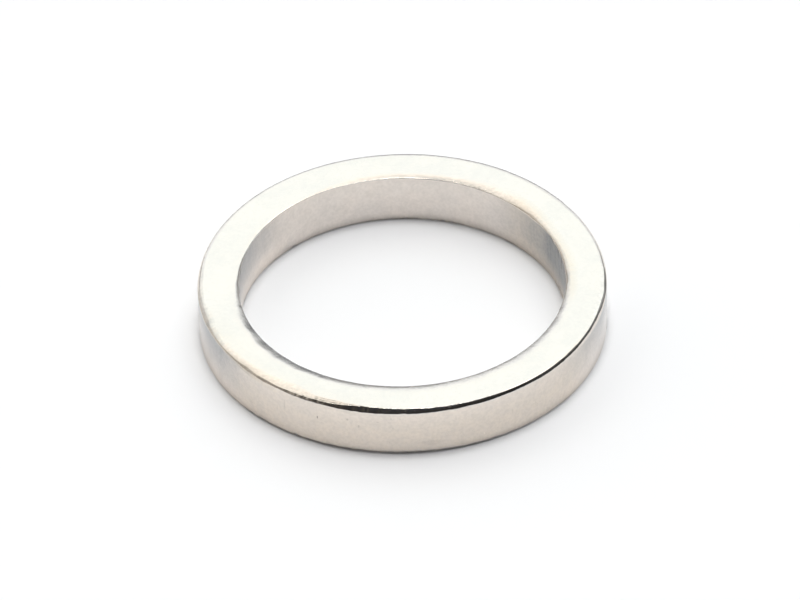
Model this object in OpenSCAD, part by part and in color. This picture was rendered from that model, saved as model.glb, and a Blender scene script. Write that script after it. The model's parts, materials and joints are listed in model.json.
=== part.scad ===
// Ring magnet: one sintered, nickel-plated ring with a rectangular section
// and tumbled edges. It lies flat, with the origin at the centre of its lower
// face and +Z along the ring's axis. Millimetres.

/* [Ring] */
// Outside diameter of the ring
outer_d = 30; // [28:0.5:60]
// Diameter of the bore
bore_d = 24; // [8:0.5:24]
// Thickness of the ring along its axis
thickness = 4; // [2:0.25:12]

/* [Edges] */
// Radius of the two rounded outer edges
outer_edge_r = 0.3; // [0.1:0.05:0.8]
// Radius of the two rounded bore edges
bore_edge_r = 0.2; // [0.1:0.05:0.8]

/* [Hidden] */
$fn = 96;
outer_r = outer_d / 2;
bore_r = bore_d / 2;

// quarter disc that rounds one corner: [cx, cy] is the centre of the
// rounding, and sx, sy are the signs of the direction the corner points in
module corner(cx, cy, r, sx, sy) {
    intersection() {
        translate([cx, cy]) circle(r = r);
        translate([sx > 0 ? cx : cx - r, sy > 0 ? cy : cy - r]) square([r, r]);
    }
}

// section of the ring, in the plane of radius and height
module section() {
    // full-height core, as wide as the flat end faces
    translate([bore_r + bore_edge_r, 0])
        square([outer_r - outer_edge_r - bore_r - bore_edge_r, thickness]);
    // band behind the bore wall
    translate([bore_r, bore_edge_r])
        square([bore_edge_r, thickness - 2 * bore_edge_r]);
    // band behind the outer wall
    translate([outer_r - outer_edge_r, outer_edge_r])
        square([outer_edge_r, thickness - 2 * outer_edge_r]);
    // rounded bore edges
    corner(bore_r + bore_edge_r, bore_edge_r, bore_edge_r, -1, -1);
    corner(bore_r + bore_edge_r, thickness - bore_edge_r, bore_edge_r, -1, 1);
    // rounded outer edges
    corner(outer_r - outer_edge_r, outer_edge_r, outer_edge_r, 1, -1);
    corner(outer_r - outer_edge_r, thickness - outer_edge_r, outer_edge_r, 1, 1);
}

// the whole magnet: one pressed, sintered, ground and plated piece
module ring_magnet() {
    color([0.80, 0.78, 0.74])
        rotate_extrude() section();
}

ring_magnet();
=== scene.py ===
import json
import math
import bpy
import numpy as np
from mathutils import Matrix, Vector


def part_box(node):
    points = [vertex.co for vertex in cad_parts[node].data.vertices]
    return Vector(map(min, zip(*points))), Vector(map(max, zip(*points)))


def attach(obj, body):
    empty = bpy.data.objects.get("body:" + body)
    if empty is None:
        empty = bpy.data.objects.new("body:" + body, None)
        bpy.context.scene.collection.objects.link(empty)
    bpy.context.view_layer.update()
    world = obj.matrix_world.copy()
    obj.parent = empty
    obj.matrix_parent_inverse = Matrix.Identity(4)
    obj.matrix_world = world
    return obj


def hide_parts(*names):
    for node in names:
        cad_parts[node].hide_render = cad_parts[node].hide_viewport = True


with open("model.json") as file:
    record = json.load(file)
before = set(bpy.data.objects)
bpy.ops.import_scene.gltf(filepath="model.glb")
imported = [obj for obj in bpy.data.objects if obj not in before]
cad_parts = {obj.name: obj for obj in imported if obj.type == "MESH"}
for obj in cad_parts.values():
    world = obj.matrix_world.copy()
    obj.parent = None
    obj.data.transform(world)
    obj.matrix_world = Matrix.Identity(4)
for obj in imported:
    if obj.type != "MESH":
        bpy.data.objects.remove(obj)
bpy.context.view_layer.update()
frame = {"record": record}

# ---------------------------------------------------------------- sizes
lo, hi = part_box("ring_magnet")
MOUNTS = {m["name"]: m for m in frame["record"]["mounts"]}
R_OUT = (hi[0] - lo[0]) / 2                      # outer radius, m
R_IN = MOUNTS["bore"]["dims"]["r_mm"] / 1000     # bore radius, m
THICK = hi[2] - lo[2]
MM = 0.001

# Azimuths below are in degrees round the ring: 0 is +X, 90 is the back, 270 is the front. Edge sizes are in mm.
N = 1536
a = np.arange(N) * 2 * np.pi / N
deg = np.degrees(a)
one = np.ones(N)


# ---------------------------------------------------------------- helpers
def smooth(v):
    v = np.clip(v, 0, 1)
    return v * v * (3 - 2 * v)


def near(centre, half, soft):
    """For every azimuth, 1 within `half` degrees of `centre`, falling to 0 over the next `soft` degrees."""
    d = np.abs((deg - centre + 180) % 360 - 180)
    return smooth((half + soft - d) / soft)


def track(points):
    """A value for every azimuth, from {azimuth: value}, eased between them."""
    az = sorted(points)
    xs = [v - 360 for v in az] + az + [v + 360 for v in az]
    ys = [points[v] for v in az] * 3
    out = np.zeros(N)
    for (x0, y0), (x1, y1) in zip(zip(xs, ys), zip(xs[1:], ys[1:])):
        m = (deg >= x0) & (deg < x1)
        out[m] = y0 + (y1 - y0) * smooth((deg[m] - x0) / (x1 - x0))
    return out


def ripple(length, seed, radius=15.0):
    """Smooth noise of about unit spread round the ring, with features about `length` mm long."""
    r = np.random.default_rng(seed)
    turns = 2 * np.pi * radius / length
    out = np.zeros(N)
    for k in range(40):
        out += np.cos(a * max(1, round(turns * r.uniform(0.55, 1.6))) + r.uniform(0, 2 * np.pi))
    return out / math.sqrt(20)


def waves(p, length, seed, count=40, squash=(1, 1, 1)):
    """Smooth noise of about unit spread at points p (..., 3) in metres, with features about `length` metres across."""
    r = np.random.default_rng(seed)
    d = r.normal(size=(count, 3))
    d /= np.linalg.norm(d, axis=1, keepdims=True)
    d *= np.array(squash)
    k = 2 * np.pi / (length * r.uniform(0.7, 1.5, count))
    ph = r.uniform(0, 2 * np.pi, count)
    out = np.zeros(p.shape[:-1])
    for i in range(count):
        out += np.cos(p @ (d[i] * k[i]) + ph[i])
    return out / math.sqrt(count / 2)


def edge(steps):
    """The way over one edge, from a face (tilt 0) to a wall (tilt 90), for every azimuth. Each step is (tilt reached in
    degrees, radius in mm, number of rows). Returns the distance still to go to the wall, and the drop below the face."""
    xs, zs, tilt, x, z = [], [], np.zeros(N), np.zeros(N), np.zeros(N)
    for end, radius, n in steps:
        end = np.radians(end) * one
        for k in range(n):
            f = tilt + (end - tilt) * k / n
            xs.append(x + radius * (np.sin(f) - np.sin(tilt)))
            zs.append(z + radius * (np.cos(tilt) - np.cos(f)))
        x = x + radius * (np.sin(end) - np.sin(tilt))
        z = z + radius * (np.cos(tilt) - np.cos(end))
        tilt = end
    xs.append(x)
    zs.append(z)
    return [(x - v) * MM for v in xs], [v * MM for v in zs]


def sweep(width, t0, t1):
    """The radius of an arc that takes `width` mm to go from tilt t0 to t1 (degrees)."""
    return width / (np.sin(np.radians(t1)) - np.sin(np.radians(t0)))


# ---------------------------------------------------------------- edges
# Outer top edge: a slight roll-off, a worn shoulder o_s mm wide, then a worn slope o_e mm wide under it and two rounds to
# the wall. It is worn widest at the front left, and sharpest at the left and right.
o_w = track({0: .18, 4: .05, 10: .01, 45: .22, 90: .18, 130: .12, 165: .06, 176: .02, 186: .02, 192: .40, 196: .48, 200: .36,
             206: .44, 212: .44, 220: .31, 226: .37, 232: .52, 236: .60, 240: .35, 244: .05, 248: .004, 296: .005, 304: .02, 312: .05,
             320: .05, 332: .10, 336: .12, 341: .30, 346: .28, 356: .22})
o_s = track({0: .13, 15: .10, 60: .06, 120: .06, 165: .12, 176: .21, 184: .20, 191: .02, 196: .02, 203: .08, 208: .004, 212: .02,
             216: .10, 224: .175, 236: .127, 240: .21, 244: .27, 247: .34, 250: .29, 254: .14, 258: .02, 262: .004, 296: .004,
             304: .07, 316: .075, 328: .01, 340: .02, 346: .16, 350: .22, 356: .12})
o_e = track({0: .10, 4: .05, 20: .01, 165: .01, 180: .03, 186: .22, 196: .23, 200: .10, 205: .02, 209: .004, 216: .004, 220: .08,
             225: .03, 229: .004, 232: .015, 236: .125, 240: .10, 244: .14, 247: .14, 251: .20, 255: .29, 258: .34, 261: .32,
             264: .305, 267.6: .26, 268.7: .23, 269.75: .21, 270.1: .26, 273: .235, 276: .19, 281.2: .16, 281.7: .11, 282.1: .10,
             282.6: .13, 284: .08, 288: .025, 296: .03, 300: .01, 316: .004, 342: .004, 348: .11, 356: .14})
o_a = track({0: .21, 5: .38, 10: .46, 20: .50, 60: .32, 120: .32, 165: .36, 180: .44, 185: .05, 197: .065, 201: .16, 208: .19,
             216: .24, 220: .25, 224: .24, 228: .36, 232: .26, 236: .065, 240: .165, 244: .085, 256: .055, 264: .08, 268: .125,
             276: .225, 280: .23, 284: .45, 292: .545, 300: .45, 312: .41, 324: .47, 328: .43, 334: .51, 343: .55, 348: .28, 353: .08})
o_b = track({0: .16, 5: .10, 15: .12, 30: .30, 90: .40, 165: .28, 180: .09, 186: .06, 204: .08, 212: .15, 217: .38, 224: .60,
             232: 1.10, 236: 1.00, 241: .68, 247: .43, 252: .56, 256: .78, 260: .55, 268: .55, 272: .37, 276: .10, 284: .085,
             288: .28, 300: .26, 308: .23, 314: .09, 328: .17, 336: .07, 352: .09})
o_p = 16.6 - 2.4 * near(254, 5, 5)
fray = near(266, 22, 12)
o_e = np.clip(o_e + fray * (0.007 * ripple(0.9, 3) + 0.004 * ripple(0.4, 4)), 0.004, 1)
o_b = o_b * (1 + 0.07 * fray * ripple(0.6, 6))
o_a = o_a * (1 + 0.02 * ripple(2.6, 5) - 0.14 * near(321.5, 0.6, 1.2) + 0.12 * near(326.3, 0.6, 1.0))
flat = near(295, 12, 7)                     # here the round is worn to a flatter slope with a crisp lower end
o_k = o_a * (1 - 0.93 * flat)
o_a = o_a * (1 + 0.48 * flat)
ot = edge([(4, sweep(0.05, 0, 4) * one, 1), (12, sweep(o_w + 0.004, 4, 12), 2), (o_p, sweep(o_s + 0.003, 12, o_p), 2),
           (o_p + 0.4, sweep(0.003, o_p, o_p + 0.4), 1), (31, 0.006 * one, 1), (31.5, sweep(0.004, 31, 31.5) * one, 1),
           (36, sweep(o_e + 0.006, 31.5, 36), 2), (55, o_a, 3), (70.5, o_k, 1), (90, o_b, 3)])

# Outer bottom edge: a plain round with a few nicks.
nicks = 0.16 * near(238, 0.10, 0.55) + 0.09 * near(222.5, 0.1, 0.5) + 0.09 * near(225.5, 0.1, 0.5) + 0.08 * near(318, 0.1, 0.6)
b_r = track({0: .10, 90: .25, 180: .10, 196: .06, 206: .08, 216: .15, 230: .25, 250: .31, 272: .33, 290: .26, 310: .14, 325: .07, 345: .05})
b_r = b_r * (1 + 0.06 * ripple(1.6, 7) + 0.035 * ripple(0.5, 8)) + nicks
ob = edge([(5, 0.9 * one, 1), (90, b_r, 7)])

# Inner top edge: a roll-off to tilt i_t in i_w mm, a worn slope i_e mm wide (widest at the left front), and a tight round.
i_t = track({0: 28, 20: 24, 40: 18, 48: 16.8, 60: 15.5, 70: 12.5, 80: 12.5, 90: 10, 110: 9.5, 120: 12, 140: 21, 156: 28, 175: 32,
             183: 28, 190: 25, 198: 20, 206: 17.5, 214: 14, 222: 12.8, 230: 12, 270: 12, 300: 13, 318: 14, 326: 16, 334: 18, 345: 24})
i_w = track({0: .212, 6: .331, 12: .261, 18: .161, 24: .243, 30: .316, 36: .465, 42: .52, 48: .549, 54: .86, 60: .68, 66: .42,
             71: .25, 76: .36, 80: .42, 86: .24, 92: .28, 100: .34, 108: .34, 114: .3, 120: .15, 126: .11, 132: .1, 140: .14,
             150: .18, 160: .15, 170: .14, 176: .14, 180: .17, 186: .22, 192: .38, 198: .45, 206: .33, 214: .23, 222: .28,
             230: .235, 240: .31, 248: .37, 258: .49, 264: .51, 270: .6, 276: .56, 282: .71, 294: .7, 301: .55, 312: .68,
             318: .5, 330: .44, 336: .49, 342: .34, 348: .425, 354: .422})
i_e = track({0: .048, 6: .024, 12: .003, 18: .003, 24: .003, 30: .017, 36: .016, 42: .108, 48: .235, 54: .085, 60: .12,
             66: .23, 70: .27, 75: .2, 80: .12, 86: .2, 92: .21, 102: .18, 108: .13, 114: .03, 120: .005, 138: .012, 145: .055,
             156: .015, 168: .03, 174: .03, 180: .11, 188: .15, 192: .18, 198: .29, 206: .33, 213: .53, 222: .49, 230: .45,
             240: .37, 246: .37, 252: .31, 264: .23, 270: .16, 276: .22, 288: .115, 300: .165, 312: .16, 318: .26, 324: .22,
             336: .24, 342: .22, 348: .133, 354: .003})
i_r = track({0: .331, 6: .241, 12: .263, 18: .218, 24: .096, 30: .104, 36: .221, 42: .13, 48: .03, 60: .016, 68: .018,
             80: .075, 90: .065, 110: .022, 126: .03, 162: .035, 168: .07, 176: .03, 186: .018, 222: .016, 230: .05, 240: .055,
             248: .03, 264: .03, 270: .045, 278: .022, 300: .03, 320: .018, 342: .016, 348: .016, 354: .206})
i_w = i_w * (1 + 0.02 * ripple(3.2, 9, 12))
i_e = np.clip(i_e * (1 + 0.035 * ripple(2.2, 10, 12)) + (0.035 + 0.003 * ripple(0.5, 15, 12)) * near(219, 13, 9) + 0.003 * ripple(0.6, 11, 12) * near(225, 50, 20), 0.0, 1)
i_j = i_t + 4.6 + near(90, 33, 12) * np.clip(26.4 - i_t, 0, 90)
it = edge([(i_t, sweep(i_w, 0, i_t), 3), (i_t + 4, sweep(i_e + 0.012, i_t, i_t + 4), 2),
           (i_t + 4.3, sweep(0.003, i_t + 4, i_t + 4.3), 1), (i_j, sweep(0.003, i_t + 4.3, i_j), 1),
           (i_j + 0.4, sweep(0.003, i_j, i_j + 0.4), 1), (90, i_r, 3)])

# Inner bottom edge, with rougher stretches at the back.
ib_r = 0.045 + 0.008 * ripple(0.9, 13, 12) + 0.10 * near(80, 9, 8) * np.clip(ripple(0.7, 14, 12), 0, 2) + 0.20 * near(131.6, 0.2, 1.1)
ib_r = ib_r + 0.09 * near(15, 7, 5) * np.clip(0.4 + ripple(0.6, 16, 12), 0, 2)
ib = edge([(14, 1.6 * one, 2), (90, ib_r, 4)])

# ---------------------------------------------------------------- ring mesh
rows = []                                   # (radius, height) of each ring of vertices, and what it lies on
kind = []
for x, z in zip(*ot):
    rows.append((R_OUT - x, THICK - z))
kind += ["rim"] * len(ot[0])
z0, z1 = rows[-1][1], ob[1][-1]
for f in (0.03, 0.20, 0.40, 0.60, 0.80, 0.97):
    rows.append((R_OUT * one, z0 + (z1 - z0) * f))
    kind.append("wall")
for x, z in list(zip(*ob))[::-1]:
    rows.append((R_OUT - x, z))
kind += ["rim"] * len(ob[0])
r0, r1 = rows[-1][0], R_IN + ib[0][0]
for f in (0.33, 0.67):
    rows.append((r0 + (r1 - r0) * f, 0 * one))
    kind.append("under")
for x, z in zip(*ib):
    rows.append((R_IN + x, z))
kind += ["lip"] * len(ib[0])
z0, z1 = rows[-1][1], THICK - it[1][-1]
for f in (0.03, 0.14, 0.28, 0.42, 0.57, 0.71, 0.85, 0.97):
    rows.append((R_IN * one, z0 + (z1 - z0) * f))
    kind.append("bore")
for x, z in list(zip(*it))[::-1]:
    rows.append((R_IN + x, THICK - z))
kind += ["lip"] * len(it[0])
r0, r1 = rows[-1][0], rows[0][0]
for f in (0.25, 0.5, 0.75):
    rows.append((r0 + (r1 - r0) * f, THICK * one))
    kind.append("top")
M = len(rows)
rho = np.stack([np.broadcast_to(r, (N,)) for r, z in rows])      # (M, N)
hgt = np.stack([np.broadcast_to(z, (N,)) for r, z in rows])
pts = np.stack([rho * np.cos(a), rho * np.sin(a), hgt], 2)        # (M, N, 3)

# The walls aren't quite true: shallow waves, and lumpy plating low on the right of the bore. All of it goes into the metal.
wave = np.clip(0.5 + 0.22 * waves(pts, 0.0028, 21), 0, 1)
fine = np.clip(0.5 + 0.22 * waves(pts, 0.0009, 22), 0, 1)
inner = np.array([k in ("bore",) for k in kind])[:, None]
outer = np.array([k in ("wall",) for k in kind])[:, None]
top = np.array([k in ("top",) for k in kind])[:, None]
lumps = near(15, 9, 9)[None, :] * np.clip(0.55 + 0.3 * waves(pts, 0.0006, 23, squash=(1, 1, 0.45)), 0, 1)
rho = rho - outer * (0.004 * wave + 0.0012 * fine) * MM + inner * (0.005 * wave + 0.0015 * fine + 0.040 * lumps) * MM
hgt = hgt - top * 0.003 * wave * MM
pts = np.stack([rho * np.cos(a), rho * np.sin(a), hgt], 2)

verts = pts.reshape(-1, 3)
i, j = np.meshgrid(np.arange(M), np.arange(N), indexing="ij")
i2, j2 = (i + 1) % M, (j + 1) % N
quads = np.stack([i * N + j, i2 * N + j, i2 * N + j2, i * N + j2], 2).reshape(-1, 4)
mesh = bpy.data.meshes.new("ring_magnet_body")
mesh.vertices.add(len(verts))
mesh.vertices.foreach_set("co", verts.astype(np.float32).ravel())
mesh.loops.add(len(quads) * 4)
mesh.loops.foreach_set("vertex_index", quads.astype(np.int32).ravel())
mesh.polygons.add(len(quads))
mesh.polygons.foreach_set("loop_start", (np.arange(len(quads)) * 4).astype(np.int32))
mesh.update(calc_edges=True)
mesh.validate()
mesh.polygons.foreach_set("use_smooth", np.ones(len(quads), bool))
mesh.update()

# How each place has weathered, with painted light and shade mixed in: red is tarnishing together with painted shade
# (painted light where it goes below zero), green is warmth, which also carries a painted highlight and painted
# reflection tints, blue is roughness, and alpha is fine lines along the rim.
stain_and_painted_shade = np.zeros((M, N))
warm = np.zeros((M, N))
rough = np.zeros((M, N))
drawn = np.zeros((M, N))
for r, k in enumerate(kind):
    if k in ("bore", "lip"):
        high_up = smooth((hgt[r] / MM - 0.3) / 1.5)
        # Right side of the bore, darker higher up: partly tarnishing, partly painted shade standing in for a darker
        # reflection.
        stain_and_painted_shade[r] += track({0: 1.25, 6: 1.45, 24: 1.35, 33: 0.85, 45: 0.40, 60: 0.0, 335: 0.0, 350: 0.7}) * (0.25 + 0.80 * high_up)
        # Left side of the bore, darker near the top: painted shade.
        stain_and_painted_shade[r] += track({134: 0.0, 150: 0.55, 160: 1.0, 170: 1.0, 180: 0.7, 190: 0.2, 200: 0.0}) * high_up * smooth(hgt[r] / MM / 3.2)
        # Low on the left side of the bore, lighter: painted light standing in for a lighter reflected floor.
        stain_and_painted_shade[r] -= 0.55 * near(160, 14, 14) * (1 - smooth(hgt[r] / MM / 2.2))
        warm[r] += 0.55 * near(18, 22, 14)
        rough[r] += 0.8 * near(15, 6, 5) * (1 - smooth((hgt[r] / MM - 1.0) / 1.2))
        if k == "lip":
            stain_and_painted_shade[r] *= 0.3 * smooth((THICK - hgt[r]) / MM / 0.5)
            rough[r] += 0.6 + 0.15 * near(214, 14, 9)
            if hgt[r].min() > THICK / 2:
                stain_and_painted_shade[r] += 0.55 * near(220, 16, 13) * smooth((THICK - hgt[r]) / MM / 0.07)
    if k == "wall":
        high_up = np.clip((hgt[r] / MM - 0.5) / 3.0, 0, 1)
        # Left and right sides of the outer wall, darker higher up: painted shade, like a cylinder's shading.
        stain_and_painted_shade[r] += high_up * track({150: 0.0, 178: 1.3, 198: 1.38, 207: 1.2, 213: 0.70, 221: 0.2, 230: 0.05, 240: 0.0, 315: 0.0,
                                     325: 0.25, 335: 0.8, 346: 1.25, 0: 1.2, 30: 0.0})
        # Top of the front outer wall, lighter: a painted highlight.
        stain_and_painted_shade[r] -= 0.16 * near(275, 24, 16) * smooth((hgt[r] / MM - 2.6) / 1.2)
        # Low on the outer wall at the left and right, lighter: painted light standing in for a lighter reflected floor.
        stain_and_painted_shade[r] -= (0.30 * near(203, 12, 12) + 0.25 * near(338, 14, 12)) * (1 - smooth(hgt[r] / MM / 1.8))
        # Warm tint on the front of the outer wall, thinned near the top, where it leaves a cooler painted highlight.
        warm[r] += near(272, 48, 18) * (0.50 - 0.34 * high_up ** 3)
    if k in ("top", "rim"):
        outward = smooth((rho[r] / MM - 12.6) / 2.2)
        # Warm peach tint on the top face and rim at the front left: a painted reflection.
        warm[r] += 0.25 * outward * near(229, 24, 18)
    if k == "rim":
        drawn[r] += near(244, 6, 6) + 0.15
        if hgt[r].min() > THICK / 2:
            over = smooth((THICK - hgt[r]) / MM / 0.12)
            # The outer top rim, just under the top face: darker near 206 degrees, and warmer near 195 degrees, where
            # the warmth is a painted reflection tint.
            stain_and_painted_shade[r] += 0.55 * near(206, 12, 10) * over
            warm[r] += 0.45 * near(195, 26, 14) * over
mesh_tone = np.stack([stain_and_painted_shade, warm, rough, drawn], 2).reshape(-1, 4)
tone = mesh.color_attributes.new("tone", "FLOAT_COLOR", "POINT")
tone.data.foreach_set("color", mesh_tone.astype(np.float32).ravel())

ring = bpy.data.objects.new("ring_magnet_body", mesh)
bpy.context.scene.collection.objects.link(ring)
print("rows", M, "triangles", len(quads) * 2)

# ---------------------------------------------------------------- nickel plating
mat = bpy.data.materials.new("nickel_plating")
mat.use_nodes = True
nt = mat.node_tree
nt.nodes.clear()
link = nt.links.new


def put(socket, v):
    if isinstance(v, (int, float)):
        socket.default_value = v
    elif isinstance(v, tuple):
        socket.default_value = v + (1,) if len(v) == 3 and socket.type == "RGBA" else v
    else:
        link(v, socket)


def maths(op, x, y=0.0, clamp=False):
    n = nt.nodes.new("ShaderNodeMath")
    n.operation = op
    n.use_clamp = clamp
    put(n.inputs[0], x)
    put(n.inputs[1], y)
    return n.outputs[0]


def span(v, x0, x1, y0=0.0, y1=1.0, kind="SMOOTHSTEP"):
    n = nt.nodes.new("ShaderNodeMapRange")
    n.interpolation_type = kind
    put(n.inputs["Value"], v)
    for name, value in (("From Min", x0), ("From Max", x1), ("To Min", y0), ("To Max", y1)):
        n.inputs[name].default_value = value
    return n.outputs["Result"]


def mixed(f, x, y, blend="MIX"):
    n = nt.nodes.new("ShaderNodeMix")
    n.data_type = "RGBA"
    n.blend_type = blend
    put(n.inputs["Factor"], f)
    put(n.inputs[6], x)
    put(n.inputs[7], y)
    return n.outputs[2]


def noise(per_m, detail=2.0, rough=0.5, where=None, distortion=0.0):
    n = nt.nodes.new("ShaderNodeTexNoise")
    n.inputs["Scale"].default_value = per_m
    n.inputs["Detail"].default_value = detail
    n.inputs["Roughness"].default_value = rough
    n.inputs["Distortion"].default_value = distortion
    link(where or place, n.inputs["Vector"])
    return n.outputs[0]


def scaled(v, by):
    n = nt.nodes.new("ShaderNodeVectorMath")
    n.operation = "MULTIPLY"
    link(v, n.inputs[0])
    n.inputs[1].default_value = by
    return n.outputs[0]


place = nt.nodes.new("ShaderNodeTexCoord").outputs["Object"]
axes = nt.nodes.new("ShaderNodeSeparateXYZ")
link(place, axes.inputs[0])
px, py, pz = axes.outputs
aging_and_painted_light = nt.nodes.new("ShaderNodeAttribute")
aging_and_painted_light.attribute_name = "tone"
tones = nt.nodes.new("ShaderNodeSeparateColor")
link(aging_and_painted_light.outputs["Color"], tones.inputs[0])
tarnish_and_painted_shade, warmth, scuffed, lined = tones.outputs[0], tones.outputs[1], tones.outputs[2], aging_and_painted_light.outputs["Alpha"]

broad = noise(420, 3.0)
mottle = noise(1500, 3.0, 0.6)
grain = noise(4200, 2.0)
streak = noise(2600, 2.0, where=scaled(place, (1, 1, 0.16)))

# distance along the outer wall from the front, and height, both in mm
along = maths("MULTIPLY", maths("ARCTAN2", px, maths("MULTIPLY", py, -1.0)), R_OUT / MM)
level = maths("MULTIPLY", pz, 1 / MM)
radius = maths("MULTIPLY", maths("SQRT", maths("ADD", maths("MULTIPLY", px, px), maths("MULTIPLY", py, py))), 1 / MM)
on_wall = span(radius, R_OUT / MM - 0.25, R_OUT / MM - 0.10)


def speck(az, z, wide, tall):
    """A soft spot on the outer wall, its half width and half height in mm."""
    s = maths("DIVIDE", maths("SUBTRACT", along, math.radians(az - 270) * R_OUT / MM), wide)
    t = maths("DIVIDE", maths("SUBTRACT", level, z), tall)
    return span(maths("ADD", maths("MULTIPLY", s, s), maths("MULTIPLY", t, t)), 0.15, 1.0, 1.0, 0.0)


pits = None
for az, z, wide, tall, deep in ((245.0, 2.50, .07, .16, .55), (253.8, 2.90, .10, .12, .22), (257.0, 2.42, .08, .16, .20),
                                (262.3, 2.95, .14, .05, .18), (266.0, 3.30, .06, .14, .16), (266.5, 2.45, .06, .10, .14),
                                (268.5, 3.30, .05, .13, .20), (234.6, 2.60, .05, .75, .12), (232.0, 2.1, .05, .3, .10),
                                (277.0, 0.95, 1.1, .30, .09), (222.0, 1.2, .5, .25, .06), (292.2, 0.85, .07, .07, -.20),
                                (301.0, 2.0, .06, .25, .08), (309.0, 1.7, .05, .3, .08), (284.0, 2.9, .06, .2, .07)):
    s = maths("MULTIPLY", speck(az, z, wide, tall), deep)
    pits = s if pits is None else maths("ADD", pits, s)
pits = maths("MULTIPLY", pits, on_wall)

nickel = mixed(span(broad, 0.35, 0.65), (0.726, 0.674, 0.625), (0.756, 0.695, 0.639))
# The green channel's warmth also carries a painted highlight and painted reflection tints.
nickel = mixed(maths("MULTIPLY", warmth, span(mottle, 0.3, 0.7, 0.6, 1.0)), nickel, (0.70, 0.61, 0.50))
on_top = span(level, THICK / MM - 0.02, THICK / MM - 0.008)
calm = maths("SUBTRACT", 1.0, maths("MULTIPLY", on_top, 0.72))
shade = maths("MULTIPLY", calm, maths("ADD", span(mottle, 0.3, 0.7, -0.035, 0.035), span(grain, 0.3, 0.7, -0.04, 0.04)))
# The red channel darkens the metal with tarnishing and painted shade, and lightens it as painted light where it is
# below zero.
dull_and_painted_shade = maths("MULTIPLY", tarnish_and_painted_shade, span(streak, 0.3, 0.7, 0.37, 0.40))
value = maths("SUBTRACT", maths("ADD", 1.0, shade), pits)
grey = nt.nodes.new("ShaderNodeCombineColor")
for s, k in zip(grey.inputs, (1.12, 1.03, 0.92)):
    link(maths("SUBTRACT", value, maths("MULTIPLY", dull_and_painted_shade, k)), s)
nickel = mixed(1.0, nickel, grey.outputs[0], "MULTIPLY")

gloss = maths("ADD", span(mottle, 0.3, 0.7, 0.07, 0.12), maths("MULTIPLY", scuffed, span(grain, 0.35, 0.65, 0.02, 0.10)))
gloss = maths("ADD", gloss, maths("MULTIPLY", tarnish_and_painted_shade, 0.08))

swell = noise(1100, 1.0)
peel = noise(3600, 2.0)
fur = noise(9000, 1.0)
relief = maths("ADD", maths("MULTIPLY", swell, 1.3), maths("ADD", peel, maths("MULTIPLY", fur, 0.16)))
relief = maths("SUBTRACT", relief, maths("MULTIPLY", pits, 1.2))
relief = maths("ADD", relief, maths("MULTIPLY", scuffed, maths("MULTIPLY", noise(9500, 2.0, 0.6), 1.6)))
ringwise = nt.nodes.new("ShaderNodeCombineXYZ")
link(maths("MULTIPLY", along, 0.00012), ringwise.inputs[0])
link(maths("MULTIPLY", radius, MM), ringwise.inputs[1])
link(pz, ringwise.inputs[2])
relief = maths("ADD", relief, maths("MULTIPLY", lined, maths("MULTIPLY", noise(11000, 2.0, 0.6, where=ringwise.outputs[0]), 1.5)))
bump = nt.nodes.new("ShaderNodeBump")
bump.inputs["Strength"].default_value = 1.0
bump.inputs["Distance"].default_value = 0.0000085
link(relief, bump.inputs["Height"])

bsdf = nt.nodes.new("ShaderNodeBsdfPrincipled")
out = nt.nodes.new("ShaderNodeOutputMaterial")
link(nickel, bsdf.inputs["Base Color"])
link(gloss, bsdf.inputs["Roughness"])
link(bump.outputs[0], bsdf.inputs["Normal"])
bsdf.inputs["Metallic"].default_value = 1.0
link(bsdf.outputs[0], out.inputs[0])
mesh.materials.append(mat)

# ---------------------------------------------------------------- stage
fmat = bpy.data.materials.new("pale_table")
fmat.use_nodes = True
fb = fmat.node_tree.nodes["Principled BSDF"]
fb.inputs["Base Color"].default_value = (0.858, 0.860, 0.874, 1)
fb.inputs["Roughness"].default_value = 0.9
fb.inputs["Specular IOR Level"].default_value = 0.0
fm = bpy.data.meshes.new("table")
S = 1.2
fm.from_pydata([(-S, -S, 0), (S, -S, 0), (S, S, 0), (-S, S, 0)], [], [(0, 1, 2, 3)])
fm.materials.append(fmat)
table = bpy.data.objects.new("table", fm)
bpy.context.scene.collection.objects.link(table)

# ---------------------------------------------------------------- light
# A studio with a round lamp high over the table, a pale back wall and left wall, and an unlit side where the camera stands.
world = bpy.data.worlds.new("studio")
bpy.context.scene.world = world
world.use_nodes = True
world.cycles.sampling_method = "MANUAL"
world.cycles.sample_map_resolution = 512
wt = world.node_tree
wt.nodes.clear()
wo = wt.nodes.new("ShaderNodeOutputWorld")
bg = wt.nodes.new("ShaderNodeBackground")
wt.links.new(bg.outputs[0], wo.inputs[0])
TOP = 26.0                                   # colours are divided by this, and the background's strength brings them back


def wmath(op, x, y=0.0):
    n = wt.nodes.new("ShaderNodeMath")
    n.operation = op
    for socket, v in zip(n.inputs, (x, y)):
        if isinstance(v, (int, float)):
            socket.default_value = v
        else:
            wt.links.new(v, socket)
    return n.outputs[0]


def wstep(v, at, to):
    """0 below `at`, 1 above `to`, smooth between."""
    n = wt.nodes.new("ShaderNodeMapRange")
    n.interpolation_type = "SMOOTHSTEP"
    wt.links.new(v, n.inputs["Value"])
    n.inputs["From Min"].default_value, n.inputs["From Max"].default_value = at, to
    return n.outputs["Result"]


def wmix(f, x, y):
    n = wt.nodes.new("ShaderNodeMix")
    n.data_type = "RGBA"
    wt.links.new(f, n.inputs["Factor"])
    for socket, v in ((n.inputs[6], x), (n.inputs[7], y)):
        if isinstance(v, tuple):
            socket.default_value = tuple(c / TOP for c in v) + (1,)
        else:
            wt.links.new(v, socket)
    return n.outputs[2]


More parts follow.
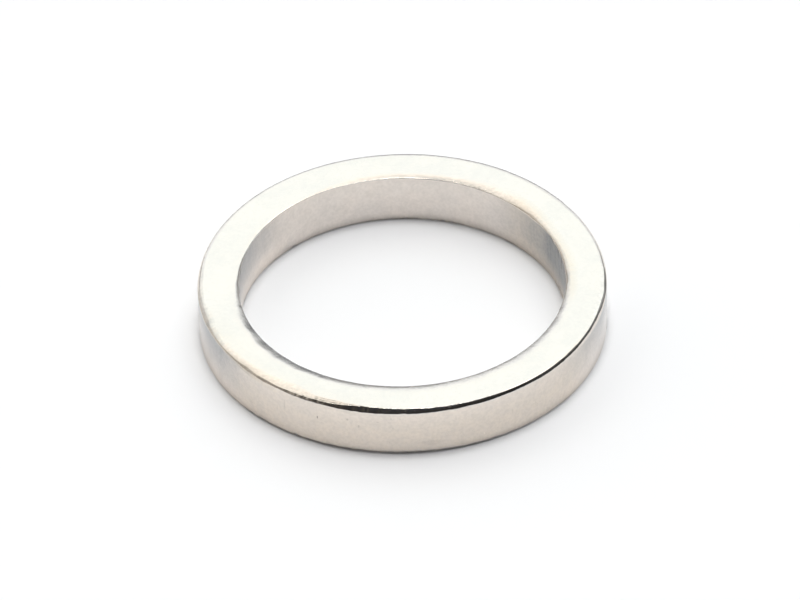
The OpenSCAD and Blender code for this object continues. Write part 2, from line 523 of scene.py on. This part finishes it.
TINT = ((0, (0.96, 0.99, 1.01)), (60, (0.93, 0.985, 1.03)), (125, (0.93, 0.985, 1.03)), (150, (0.98, 0.97, 0.95)),
        (200, (1.0, 0.96, 0.90)), (225, (0.93, 0.97, 1.06)), (300, (0.90, 0.965, 1.10)), (360, (0.95, 0.99, 1.03)))
WARM = ((0, (0.97, 0.99, 1.0)), (50, (1.0, 0.985, 0.93)), (125, (1.0, 0.985, 0.93)), (200, (1.0, 0.96, 0.88)),
        (250, (1.0, 0.97, 0.92)), (360, (0.97, 0.99, 1.0)))
BACK = ((0, (0.93, 0.99, 1.02)), (60, (0.912, 0.987, 0.995)), (110, (0.912, 0.987, 0.995)), (150, (0.97, 0.98, 0.95)),
        (200, (1.0, 0.96, 0.90)), (250, (1.0, 0.97, 0.92)), (360, (0.93, 0.99, 1.02)))


def wring(stops, tints=TINT):
    """The room's brightness all the way round, from {azimuth in degrees: brightness}, in the tint of that side."""
    n = wt.nodes.new("ShaderNodeValToRGB")
    wt.links.new(turn, n.inputs[0])
    ramp = n.color_ramp
    ramp.interpolation = "EASE"
    todo = sorted(stops.items())
    todo.append((360, todo[0][1]))
    while len(ramp.elements) < len(todo):
        ramp.elements.new(0.5)
    for i, (az, c) in enumerate(todo):
        ramp.elements[i].position = az / 360
    for i, (az, c) in enumerate(todo):
        for (t0, c0), (t1, c1) in zip(tints, tints[1:]):
            if t0 <= az <= t1:
                f = (az - t0) / (t1 - t0)
                ramp.elements[i].color = tuple(c * (u + (v - u) * f) / TOP for u, v in zip(c0, c1)) + (1,)
    return n.outputs[0]


coord = wt.nodes.new("ShaderNodeTexCoord").outputs["Generated"]
waxes = wt.nodes.new("ShaderNodeSeparateXYZ")
wt.links.new(coord, waxes.inputs[0])
height = wmath("MULTIPLY", wmath("ARCSINE", waxes.outputs[2]), 180 / math.pi)         # degrees over the horizon
turn = wmath("FRACT", wmath("ADD", wmath("DIVIDE", wmath("ARCTAN2", waxes.outputs[1], waxes.outputs[0]), 2 * math.pi), 1.0))
glow = wring({0: 3.3, 30: 3.5, 60: 3.3, 90: .9, 112: .12, 140: .04, 210: .04, 240: .034, 300: .036, 325: .14, 345: 1.8})
upper = wring({0: .8, 14: 1.6, 30: 2.5, 45: 2.7, 62: 2.4, 80: 1.2, 100: 1.1, 120: 1.3, 145: .65, 170: .22, 195: .10, 215: .06, 245: .034, 300: .036, 318: .06, 340: .22}, WARM)
HIGH = {0: .09, 10: .18, 20: .5, 32: 1.0, 45: 1.43, 58: 1.50, 75: 1.465, 100: 1.465, 120: 1.23, 140: .98, 160: .80, 178: .60, 192: .34, 205: .19, 222: .07, 240: .028, 340: .03}
high = wmix(wstep(height, 43, 48), wring(HIGH, BACK), wring(HIGH, WARM))
mid = wring({0: .055, 18: .14, 35: .33, 48: .56, 60: .92, 74: 1.12, 90: 1.25, 120: 1.12, 150: .92, 178: .62, 192: .34, 208: .17, 225: .08, 243: .03, 330: .032, 345: .045})
low = wring({0: .05, 20: .09, 42: .22, 60: .27, 72: .18, 80: .19, 88: .42, 104: .48, 120: .52, 132: .72, 150: .9, 180: .68, 200: .3, 215: .13, 240: .03, 290: .035, 300: 1.15, 330: 1.15, 341: .035})
skirt = wring({0: .08, 20: .11, 42: .28, 60: .32, 72: .20, 80: .20, 88: .42, 104: .48, 120: .52, 132: .74, 150: .92, 180: .8, 200: .55, 222: .50, 245: .52, 292: .52, 304: .85, 328: .85, 343: .10})
low = wmix(wstep(height, 2, 22), skirt, low)
room = wmix(wstep(height, 14, 24), low, wmix(wstep(height, 26, 36), mid, wmix(wstep(height, 50, 62), high, upper)))
room = wmix(wstep(height, 64, 70), room, glow)
room = wmix(wstep(height, 78, 82), room, (0.3, 0.3, 0.3))
aim = wt.nodes.new("ShaderNodeVectorMath")
aim.operation = "DOT_PRODUCT"
wt.links.new(coord, aim.inputs[0])
LAMP_AZ, LAMP_EL = math.radians(90), math.radians(86.25)
aim.inputs[1].default_value = (math.cos(LAMP_AZ) * math.cos(LAMP_EL), math.sin(LAMP_AZ) * math.cos(LAMP_EL), math.sin(LAMP_EL))
off = wmath("MULTIPLY", wmath("ARCCOSINE", wmath("MINIMUM", aim.outputs["Value"], 1.0)), 180 / math.pi)
room = wmix(wstep(off, 7.5, 10.5), (24.6, 24.4, 24.0), room)                          # the lamp
room = wmix(wstep(height, -0.6, 0.0), (1.15, 1.15, 1.15), room)                       # the table going on and on
wt.links.new(room, bg.inputs[0])
bg.inputs[1].default_value = TOP

# ---------------------------------------------------------------- camera
F_PX, DIST, ELEV = 7503.2555, 36.8022 * R_OUT, math.radians(39.5952)
PAN, TILT, ROLL = math.radians(0.0194), math.radians(-0.1643), math.radians(-1.4248)
eye = Vector((0, -DIST * math.cos(ELEV), DIST * math.sin(ELEV)))
fw = -eye.normalized()
right = fw.cross(Vector((0, 0, 1))).normalized()
up = right.cross(fw)
base = Matrix((right, -up, fw))
rx = Matrix(((1, 0, 0), (0, math.cos(TILT), -math.sin(TILT)), (0, math.sin(TILT), math.cos(TILT))))
ry = Matrix(((math.cos(PAN), 0, math.sin(PAN)), (0, 1, 0), (-math.sin(PAN), 0, math.cos(PAN))))
rz = Matrix(((math.cos(ROLL), -math.sin(ROLL), 0), (math.sin(ROLL), math.cos(ROLL), 0), (0, 0, 1)))
look = rz @ rx @ ry @ base
cam = bpy.data.cameras.new("camera")
cam.sensor_width = 36
cam.lens = F_PX / 800 * 36
cam.clip_start, cam.clip_end = 0.01, 10
camera = bpy.data.objects.new("camera", cam)
camera.matrix_world = Matrix.Translation(eye) @ Matrix((look[0], -look[1], -look[2])).transposed().to_4x4()
bpy.context.scene.collection.objects.link(camera)
bpy.context.scene.camera = camera
bpy.context.scene.view_settings.view_transform = "Standard"

# ---------------------------------------------------------------- frame
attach(ring, "root")
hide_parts("ring_magnet")
